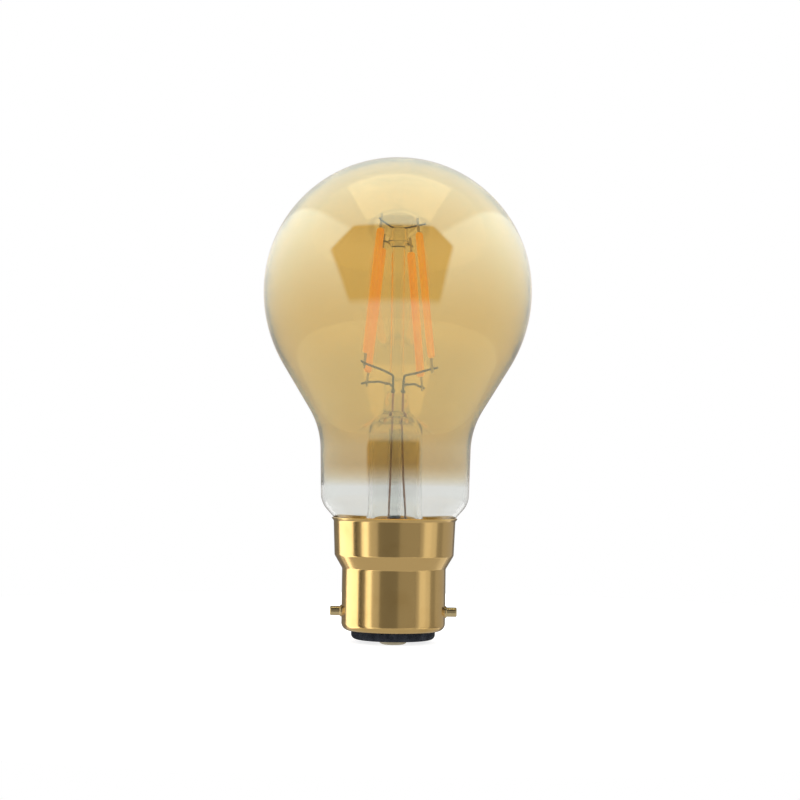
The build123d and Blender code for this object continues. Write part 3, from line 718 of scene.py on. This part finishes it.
# ---- Arbor and button ----------------------------------------------------------------------
# A drawn glass rod on top of the pinch, melted at its end into a button that grips both top
# wires. The melt leaves a rounded foot, a tapering side and a small nub.
rod_low, rod_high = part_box("arbor_rod")
rod_r = rod_high.x / MM
rod = lathe(
    "arbor_glass_rod",
    rounded_outline(
        [
            (0, rod_low.z / MM, 0),
            (rod_r, rod_low.z / MM, 0),
            (rod_r, rod_low.z / MM + 9.0, 200.0),
            (rod_r - 0.04, rod_high.z / MM - 9.0, 200.0),
            (rod_r, rod_high.z / MM, 0),
            (0, rod_high.z / MM, 0),
        ]
    ),
    64,
)
smooth(rod)
finish_piece(rod, clear_glass, "arbor_rod")
button_low, button_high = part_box("glass_button")
button = lathe(
    "melted_button",
    rounded_outline(
        [
            (0, button_low.z / MM, 0),
            (rod_r, button_low.z / MM, 0.3),
            (2.4, button_low.z / MM + 0.75, 0.35),
            (2.08, button_low.z / MM + 1.6, 1.5),
            (1.8, button_low.z / MM + 3.9, 0.35),
            (1.1, button_low.z / MM + 3.95, 0.2),
            (0.95, button_high.z / MM, 0.4),
            (0, button_high.z / MM, 0),
        ]
    ),
    64,
)
smooth(button, 60)
finish_piece(button, clear_glass, "glass_button")

# ---- Filaments -----------------------------------------------------------------------------
# A ceramic strip with a row of chips, dipped in two beads of phosphor silicone that meet along the
# strip's edges, and a metal tab at each end. One bead is painted a lighter yellow as a painted lit
# side and the other a deeper orange as a painted shaded side, and the silicone carries a painted
# orange glow though the lamp is off.
COAT_PAST_STRIP = 0.7
COAT_THICK = 0.875
COAT_CENTRE = 0.125
COAT_WIDTH = 0.65
RINGS = ((0.0, 0.45), (0.12, 0.72), (0.3, 0.88), (0.55, 0.97), (0.9, 1.0))
silicone, tree, shader = new_material("Phosphor silicone with painted glow and shade")
# Painted light and shade: one bead is a lighter yellow as a painted lit side, the other a deeper
# orange as a painted shaded side.
shaded_side_mark = add_node(tree, "ShaderNodeAttribute", attribute_name="shaded_bead")
coordinates = add_node(tree, "ShaderNodeTexCoord")
speckle = add_node(
    tree,
    "ShaderNodeTexNoise",
    {"Vector": coordinates.outputs["Object"], "Scale": 1500.0, "Detail": 3.0},
)
lit_and_shaded_beads = add_node(
    tree,
    "ShaderNodeMix",
    {"Factor": shaded_side_mark.outputs["Fac"], 6: (1.0, 0.80, 0.05, 1), 7: (1.0, 0.60, 0.01, 1)},
    data_type="RGBA",
)
grainy = add_node(
    tree,
    "ShaderNodeMix",
    {"Factor": speckle.outputs["Fac"], 6: lit_and_shaded_beads.outputs[2], 7: (0.92, 0.50, 0.03, 1)},
    data_type="RGBA",
)
lumps = add_node(
    tree,
    "ShaderNodeBump",
    {"Strength": 0.35, "Distance": 0.05 * MM, "Height": speckle.outputs["Fac"]},
)
tree.links.new(grainy.outputs[2], shader.inputs["Base Color"])
tree.links.new(lumps.outputs["Normal"], shader.inputs["Normal"])
shader.inputs["Roughness"].default_value = 0.38
# Painted glow: an orange emission on the phosphor, though the lamp is off.
shader.inputs["Emission Color"].default_value = (1.0, 0.38, 0.0, 1)
shader.inputs["Emission Strength"].default_value = 0.55
shader.inputs["Subsurface Weight"].default_value = 0.25
shader.inputs["Subsurface Radius"].default_value = (0.6 * MM, 0.25 * MM, 0.05 * MM)
shader.inputs["Subsurface Scale"].default_value = 1.0


def strip_ends(name):
    """Middle of each end of a strip, from the corners of its CAD solid."""
    corners = sorted((v.co.copy() for v in cad_nodes[name].data.vertices), key=lambda co: co.z)
    half = len(corners) // 2
    foot = sum(corners[:half], Vector()) / half
    head = sum(corners[half:], Vector()) / (len(corners) - half)
    return foot, head


def phosphor_bar(name, length):
    """One coated bar along +Z from the origin, thickness along X, with its two beads marked for the
    painted lit side and the painted shaded side.
    """
    bpy.ops.object.select_all(action="DESELECT")
    bpy.ops.mesh.primitive_circle_add(vertices=40, radius=1.0, fill_type="NGON")
    bar = bpy.context.object
    bar.name = bar.data.name = name
    for vertex in bar.data.vertices:
        across, along = vertex.co.x, vertex.co.y
        x = COAT_CENTRE + COAT_THICK * math.copysign(abs(across) ** 0.7, across)
        y = COAT_WIDTH * math.copysign(abs(along) ** 0.6, along)
        y *= 1 - 0.16 * math.exp(-((x / 0.15) ** 2))
        vertex.co = (x * MM, y * MM, 0)
    bpy.ops.object.mode_set(mode="EDIT")
    bpy.ops.mesh.select_all(action="SELECT")
    stations = list(RINGS) + [(length - z, size) for z, size in reversed(RINGS)]
    size_now = 1.0
    height_now = 0.0
    for number, (z, size) in enumerate(stations):
        if number:
            rise = (0, 0, (z - height_now) * MM)
            bpy.ops.mesh.extrude_region_move(TRANSFORM_OT_translate={"value": rise})
        factor = size / size_now
        bpy.ops.transform.resize(
            value=(factor, factor, 1), center_override=(COAT_CENTRE * MM, 0, z * MM)
        )
        size_now, height_now = size, z
    bpy.ops.mesh.select_all(action="SELECT")
    bpy.ops.mesh.normals_make_consistent(inside=False)
    bpy.ops.object.mode_set(mode="OBJECT")
    # Each bead's mark: 0 on the painted lit side, 1 on the painted shaded side.
    shade_values = bar.data.attributes.new("shaded_bead", "FLOAT", "POINT")
    for vertex, value in zip(bar.data.vertices, shade_values.data):
        value.value = min(1, max(0, 0.5 + vertex.co.x / MM / 0.4))
    return bar


foot, head = strip_ends("filament_substrate_front_left")
bar = phosphor_bar("phosphor_coat_front_left", (head - foot).length / MM + 2 * COAT_PAST_STRIP)
smooth(bar, 60)
bars = {"front_left": bar}
for place_name in ("front_right", "back_left", "back_right"):
    bars[place_name] = copied(bar, f"phosphor_coat_{place_name}")
for place_name, bar in bars.items():
    foot, head = strip_ends(f"filament_substrate_{place_name}")
    run = (head - foot).normalized()
    facing = Vector((0, 0, 1)).cross(Vector((foot.x, foot.y, 0))).normalized()
    facing = (facing - run * facing.dot(run)).normalized()
    turn = Matrix((facing, run.cross(facing), run)).transposed().to_4x4()
    bar.matrix_world = Matrix.Translation(foot - run * COAT_PAST_STRIP * MM) @ turn
    select_only(bar)
    bpy.ops.object.transform_apply(location=True, rotation=True, scale=True)
    finish_piece(bar, silicone, f"filament_coat_{place_name}")

strip_ceramic = mottled("Strip ceramic", (0.88, 0.86, 0.80), (0.80, 0.77, 0.70), 0.4, 2500.0, 0.2)
chip_blue = mottled("Chip die", (0.18, 0.30, 0.70), (0.10, 0.18, 0.50), 0.15, 3000.0, 0.1)
tab_steel = mottled(
    "Tab steel", (0.62, 0.58, 0.50), (0.42, 0.38, 0.32), 0.32, 1800.0, 0.4, 0.15, 1.0
)
for depth in ("front", "back"):
    for name in ("left", "right"):
        dress(strip_ceramic, f"filament_substrate_{depth}_{name}")
        dress(chip_blue, f"led_chips_{depth}_{name}")
        dress(tab_steel, f"filament_tabs_{depth}_{name}")

# ---- Wires ---------------------------------------------------------------------------------
# Dull nickel wire carries the filaments, reddish copper-clad wire passes through the pinch, and
# bare copper goes on down to the driver.
nickel = mottled(
    "Dulled nickel", (0.20, 0.17, 0.14), (0.10, 0.085, 0.07), 0.36, 1500.0, 0.4, 0.2, 1.0
)
seal_copper = mottled(
    "Seal wire", (0.62, 0.26, 0.20), (0.45, 0.16, 0.12), 0.35, 1500.0, 0.4, 0.2, 1.0
)
lead_copper = mottled(
    "Bare copper", (0.42, 0.24, 0.15), (0.20, 0.11, 0.07), 0.34, 1500.0, 0.4, 0.2, 1.0
)
dress(nickel, "top_wire_front", "top_wire_back", "weld_knots")
for name in ("left", "right"):
    dress(nickel, f"lead_wire_front_{name}", f"lead_wire_back_{name}")
    dress(seal_copper, f"seal_wire_{name}")
    dress(lead_copper, f"outer_lead_{name}")

# ---- Driver --------------------------------------------------------------------------------
# The board, its parts and the radio module sit in the liner, out of sight behind the brass.
laminate = mottled("Board laminate", (0.02, 0.13, 0.06), (0.03, 0.18, 0.09), 0.35, 1200.0, 0.2)
dress(laminate, "driver_board", "radio_board")
epoxy = mottled("Moulded epoxy", (0.02, 0.02, 0.022), (0.05, 0.05, 0.052), 0.55, 4000.0, 0.4)
dress(epoxy, "bridge_rectifier", "driver_chip", "radio_chip", "module_header")
can_skin = mottled(
    "Capacitor can", (0.78, 0.78, 0.80), (0.60, 0.60, 0.63), 0.3, 900.0, 0.2, 0.1, 1.0
)
dress(can_skin, "capacitor_can")
rubber = mottled("Bung rubber", (0.03, 0.03, 0.03), (0.06, 0.06, 0.06), 0.7, 2500.0, 0.5)
dress(rubber, "capacitor_bung")
tinned = mottled("Tinned metal", (0.72, 0.72, 0.70), (0.55, 0.55, 0.53), 0.3, 1500.0, 0.3, 0.1, 1.0)
dress(tinned, "capacitor_leads", "shield_can")
ferrite = mottled("Ferrite", (0.06, 0.06, 0.065), (0.10, 0.10, 0.10), 0.6, 3500.0, 0.5)
dress(ferrite, "choke_core")
enamel = turned_metal("Enamelled copper winding", (0.70, 0.28, 0.12), (0.40, 0.14, 0.06), 0.3, 1.0)
dress(enamel, "choke_winding")
dress(lead_copper, "radio_aerial")
lacquer = mottled("Resistor lacquer", (0.25, 0.42, 0.33), (0.18, 0.32, 0.25), 0.4, 1800.0, 0.3)
dress(lacquer, "fusible_resistor")
dress(strip_ceramic, "board_passives")
sleeve = mottled("Wire insulation", (0.82, 0.82, 0.78), (0.74, 0.74, 0.70), 0.35, 1200.0, 0.15)
dress(sleeve, "supply_wire_front", "supply_wire_back")

# ---- Studio --------------------------------------------------------------------------------
# A round pale table top in a white room that is dim where gloss mirrors it. A tent with a dark
# opening at the front lights only the glass, and strips light only the brass and the solder.
bpy.ops.object.select_all(action="DESELECT")
bpy.ops.mesh.primitive_circle_add(vertices=128, radius=0.16, fill_type="NGON")
floor = bpy.context.object
floor.name = "studio_floor"
paper, tree, shader = new_material("Pale paper")
shader.inputs["Base Color"].default_value = (0.5, 0.5, 0.5, 1)
shader.inputs["Roughness"].default_value = 0.9
shader.inputs["Specular IOR Level"].default_value = 0.0
shader.inputs["Emission Color"].default_value = (1, 1, 1, 1)
shader.inputs["Emission Strength"].default_value = 0.8
paper.cycles.emission_sampling = "NONE"
floor.data.materials.append(paper)
floor.visible_glossy = False
floor.visible_shadow = False

world = bpy.data.worlds.new("Studio room")
bpy.context.scene.world = world
world.use_nodes = True
world.cycles.sampling_method = "NONE"
room = world.node_tree
path = add_node(room, "ShaderNodeLightPath")
mirrored = add_node(
    room,
    "ShaderNodeMath",
    {0: path.outputs["Is Glossy Ray"], 1: path.outputs["Is Transmission Ray"]},
    operation="SUBTRACT",
    use_clamp=True,
)
direction = add_node(room, "ShaderNodeTexCoord")
upward = add_node(room, "ShaderNodeSeparateXYZ", {"Vector": direction.outputs["Generated"]})
ceiling = add_node(
    room,
    "ShaderNodeMapRange",
    {"Value": upward.outputs["Z"], "From Min": 0.5, "From Max": 0.75, "To Max": 0.55},
)
through = multiply(room, ceiling.outputs[0], path.outputs["Is Transmission Ray"])
open_sky = add_node(room, "ShaderNodeMath", {0: 1.0, 1: through}, operation="SUBTRACT")
MIRRORED_ROOM = 0.06
dimmed = add_node(
    room, "ShaderNodeMix", {0: mirrored.outputs[0], 2: open_sky.outputs[0], 3: MIRRORED_ROOM}
)
room.links.new(dimmed.outputs[0], room.nodes["Background"].inputs["Strength"])
room.nodes["Background"].inputs["Color"].default_value = (1, 1, 1, 1)

bpy.ops.object.select_all(action="DESELECT")
bpy.ops.mesh.primitive_uv_sphere_add(segments=48, ring_count=24, radius=2.0)
tent = bpy.context.object
tent.name = "studio_tent"
cloth = bpy.data.materials.new("Lit cloth")
cloth.use_nodes = True
cloth.cycles.emission_sampling = "NONE"
tree = cloth.node_tree
tree.nodes.remove(tree.nodes["Principled BSDF"])
where = add_node(tree, "ShaderNodeTexCoord")
outward = add_node(
    tree, "ShaderNodeVectorMath", {0: where.outputs["Object"]}, operation="NORMALIZE"
)
halfway = add_node(
    tree, "ShaderNodeVectorMath", {0: outward.outputs[0], 1: (0, -1, 0)}, operation="ADD"
)
facing = add_node(
    tree, "ShaderNodeVectorMath", {0: halfway.outputs[0]}, operation="NORMALIZE"
)
axes = add_node(tree, "ShaderNodeSeparateXYZ", {"Vector": facing.outputs[0]})
glow = smooth_step(tree, axes.outputs["Z"], -0.25, 0.75, 0.8, 2.7)
edge_dim = smooth_step(tree, axes.outputs["Y"], -0.7, -0.1, 1.0, 0.34)
side_on = add_node(tree, "ShaderNodeMath", {0: axes.outputs["X"]}, operation="ABSOLUTE")
wedge = add_node(
    tree,
    "ShaderNodeMath",
    {0: side_on.outputs[0], 1: -0.8, 2: axes.outputs["Z"]},
    operation="MULTIPLY_ADD",
)
top_panel = smooth_step(tree, wedge.outputs[0], 0.13, 0.19, 1.0, 0.72)
lit = multiply(tree, multiply(tree, glow, edge_dim), top_panel)

# Sides of the dark opening: the direction each one faces, how far out it lies, its softness.
opening = None
for across, up, reach, softness in (
    (0.953, 0.302, 0.36, 0.02),
    (-0.984, 0.180, 0.317, 0.02),
    (0.0, -1.0, 0.443, 0.015),
    (0.689, -0.725, 0.53, 0.015),
    (-0.681, -0.732, 0.485, 0.015),
    (0.0, 1.0, 0.09, 0.04),
):
    distance = add_node(
        tree,
        "ShaderNodeVectorMath",
        {0: facing.outputs[0], 1: (across, 0, up)},
        operation="DOT_PRODUCT",
    )
    inside = smooth_step(tree, distance.outputs["Value"], -reach - softness, -reach + softness)
    opening = multiply(tree, opening, inside) if opening else inside
closed = add_node(tree, "ShaderNodeMapRange", {"Value": opening})
closed.inputs["To Min"].default_value = 1.0
closed.inputs["To Max"].default_value = 0.03
glowing = multiply(tree, lit, closed.outputs[0])
edge_on = add_node(tree, "ShaderNodeMapRange", {"Value": axes.outputs["Y"]})
edge_on.inputs["From Min"].default_value = -0.6
edge_on.inputs["From Max"].default_value = -0.1
cast = add_node(
    tree,
    "ShaderNodeMix",
    {"Factor": edge_on.outputs[0], 6: (0.62, 0.84, 0.78, 1), 7: (1.0, 0.90, 0.80, 1)},
    data_type="RGBA",
)
emission = add_node(
    tree, "ShaderNodeEmission", {"Color": cast.outputs[2], "Strength": glowing}
)
clear = add_node(tree, "ShaderNodeBsdfTransparent")
both = add_node(
    tree, "ShaderNodeAddShader", {0: emission.outputs[0], 1: clear.outputs[0]}
)
tree.links.new(both.outputs[0], tree.nodes["Material Output"].inputs["Surface"])
tent.data.materials.append(cloth)
tent.visible_camera = False
tent.visible_diffuse = False
tent.visible_transmission = False
tent.visible_shadow = False

glass_light = bpy.data.collections.new("Light on glass")
glass_light.objects.link(envelope)
tent.light_linking.receiver_collection = glass_light
brass_light = bpy.data.collections.new("Light on brass")
for piece in (shell, pin, other_pin, dome, other_dome):
    brass_light.objects.link(piece)
BOX_AWAY = 0.5
BOX_TALL = 0.7


def soft_box(name, width, tall, radiance, location, turn, receivers=None):
    """An area light that the camera doesn't see, for every piece or only for some."""
    light = bpy.data.lights.new(name, "AREA")
    light.shape = "RECTANGLE"
    light.size = width
    light.size_y = tall
    light.energy = radiance * math.pi * width * tall
    box = bpy.data.objects.new(name, light)
    bpy.context.scene.collection.objects.link(box)
    box.location = location
    box.rotation_euler = turn
    box.visible_camera = False
    box.light_linking.receiver_collection = receivers
    return box


for name, azimuth, spread, radiance in (
    ("front_fill", 0, 150, 0.13),
    ("back_fill", 180, 150, 0.13),
    ("left_strip", -57, 15, 1.05),
    ("left_soft_box", -45, 28, 0.3),
    ("left_box", -106, 44, 1.6),
    ("front_right_box", 29, 38, 0.13),
    ("right_strip", 73, 30, 0.38),
    ("right_box", 100, 100, 0.22),
):
    a = math.radians(azimuth)
    width = 2 * BOX_AWAY * math.tan(math.radians(spread / 2))
    place = (math.sin(a) * BOX_AWAY, -math.cos(a) * BOX_AWAY, 0.03)
    soft_box(name, width, BOX_TALL, radiance, place, (math.pi / 2, 0, a), brass_light)
top_box = soft_box("top_box", 0.6, 0.6, 1.0, (0, -0.05, 0.7), (0, 0, 0))
top_box.visible_glossy = False
soft_box("under_box", 1.2, 1.2, 0.4, (0, 0, -0.3), (math.pi, 0, 0), brass_light)

# ---- Camera --------------------------------------------------------------------------------
# A short telephoto at the lamp's waist height, looking up a little, with a slight roll.
CAMERA_BACK = 350
CAMERA_UP = 33.3
CAMERA_SIDE = 0.8
TILT = 2.967
ROLL = 0.8
LENS = 73.8
camera_data = bpy.data.cameras.new("camera")
camera_data.lens = LENS
camera_data.sensor_width = 36
camera_data.clip_start = 0.01
camera = bpy.data.objects.new("camera", camera_data)
bpy.context.scene.collection.objects.link(camera)
camera.location = (CAMERA_SIDE * MM, -CAMERA_BACK * MM, CAMERA_UP * MM)
camera.rotation_euler = (math.radians(90 + TILT), 0, 0)
camera.rotation_euler.rotate_axis("Z", math.radians(ROLL))
bpy.context.scene.camera = camera
bpy.context.scene.view_settings.view_transform = "Standard"
